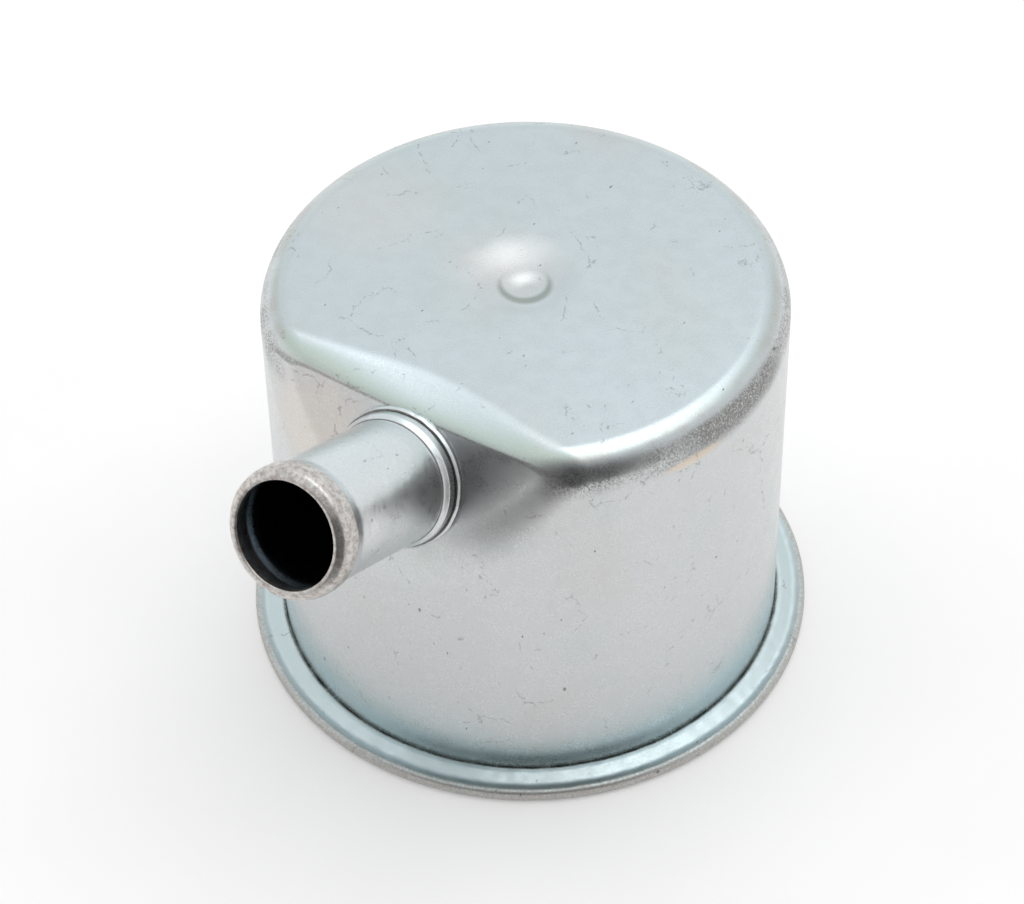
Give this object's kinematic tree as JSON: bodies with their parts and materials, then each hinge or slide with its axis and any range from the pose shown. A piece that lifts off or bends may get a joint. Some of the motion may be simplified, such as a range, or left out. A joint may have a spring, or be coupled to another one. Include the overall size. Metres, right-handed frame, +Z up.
{
  "type": "breather air filter housing",
  "caption": "Drawn steel air filter housing for a crankcase breather: angled hose spigot, hemmed base plate, filter pack and a sprung bayonet lock for the filler neck.",
  "frame": {"origin": "on the can's axis, level with the underside of the hemmed rim, at the mouth of the neck's guide bore", "axes": "+Z up along the can's axis to its closed top; -Y to the side the hose spigot points to"},
  "size_m": [0.0854, 0.1055, 0.0739],
  "materials": {
    "zinc_can": "bright zinc plate, satin, with fine drawn grain and handling marks",
    "zinc_tube": "bright zinc plate, satin",
    "zinc_ring": "bright zinc plate, satin",
    "zinc_base": "bright zinc plate, satin, rubbed bright on the hem",
    "nitrile": "matt, moulded",
    "plain_steel": "oiled cold-rolled steel",
    "rivet_steel": "zinc plate",
    "spring_steel": "blued and oiled, worn bright on the cams",
    "spring_wire": "drawn and oiled",
    "knitted_wire": "knitted crimped wire, oiled"
  },
  "bodies": {
    "housing": {"can": "zinc_can", "hose_spigot": "zinc_tube", "spigot_ring": "zinc_ring", "base_plate": "zinc_base", "neck_collar": "zinc_base", "neck_gasket": "nitrile", "lock_bridge": "plain_steel", "bridge_rivets": "rivet_steel", "baffle_rivets": "rivet_steel", "lock_spring": "spring_wire", "pack_spring": "spring_wire", "splash_baffle": "plain_steel", "spacer_ring": "plain_steel", "lower_screen": "plain_steel", "middle_screen": "plain_steel", "upper_screen": "plain_steel", "lower_filter_pack": "knitted_wire", "upper_filter_pack": "knitted_wire"},
    "lock": {"lock_stud": "rivet_steel", "locking_plate": "spring_steel", "lock_washer": "plain_steel", "stud_clip": "spring_steel"}
  },
  "joints": [
    {"name": "lock_travel", "type": "slide", "parent": "housing", "child": "lock", "axis": [0, 0, -1], "range_m": [0, 0.0025], "stiffness_N_per_m": 3000, "springref_m": -0.003, "deforming": ["lock_spring"]}
  ]
}
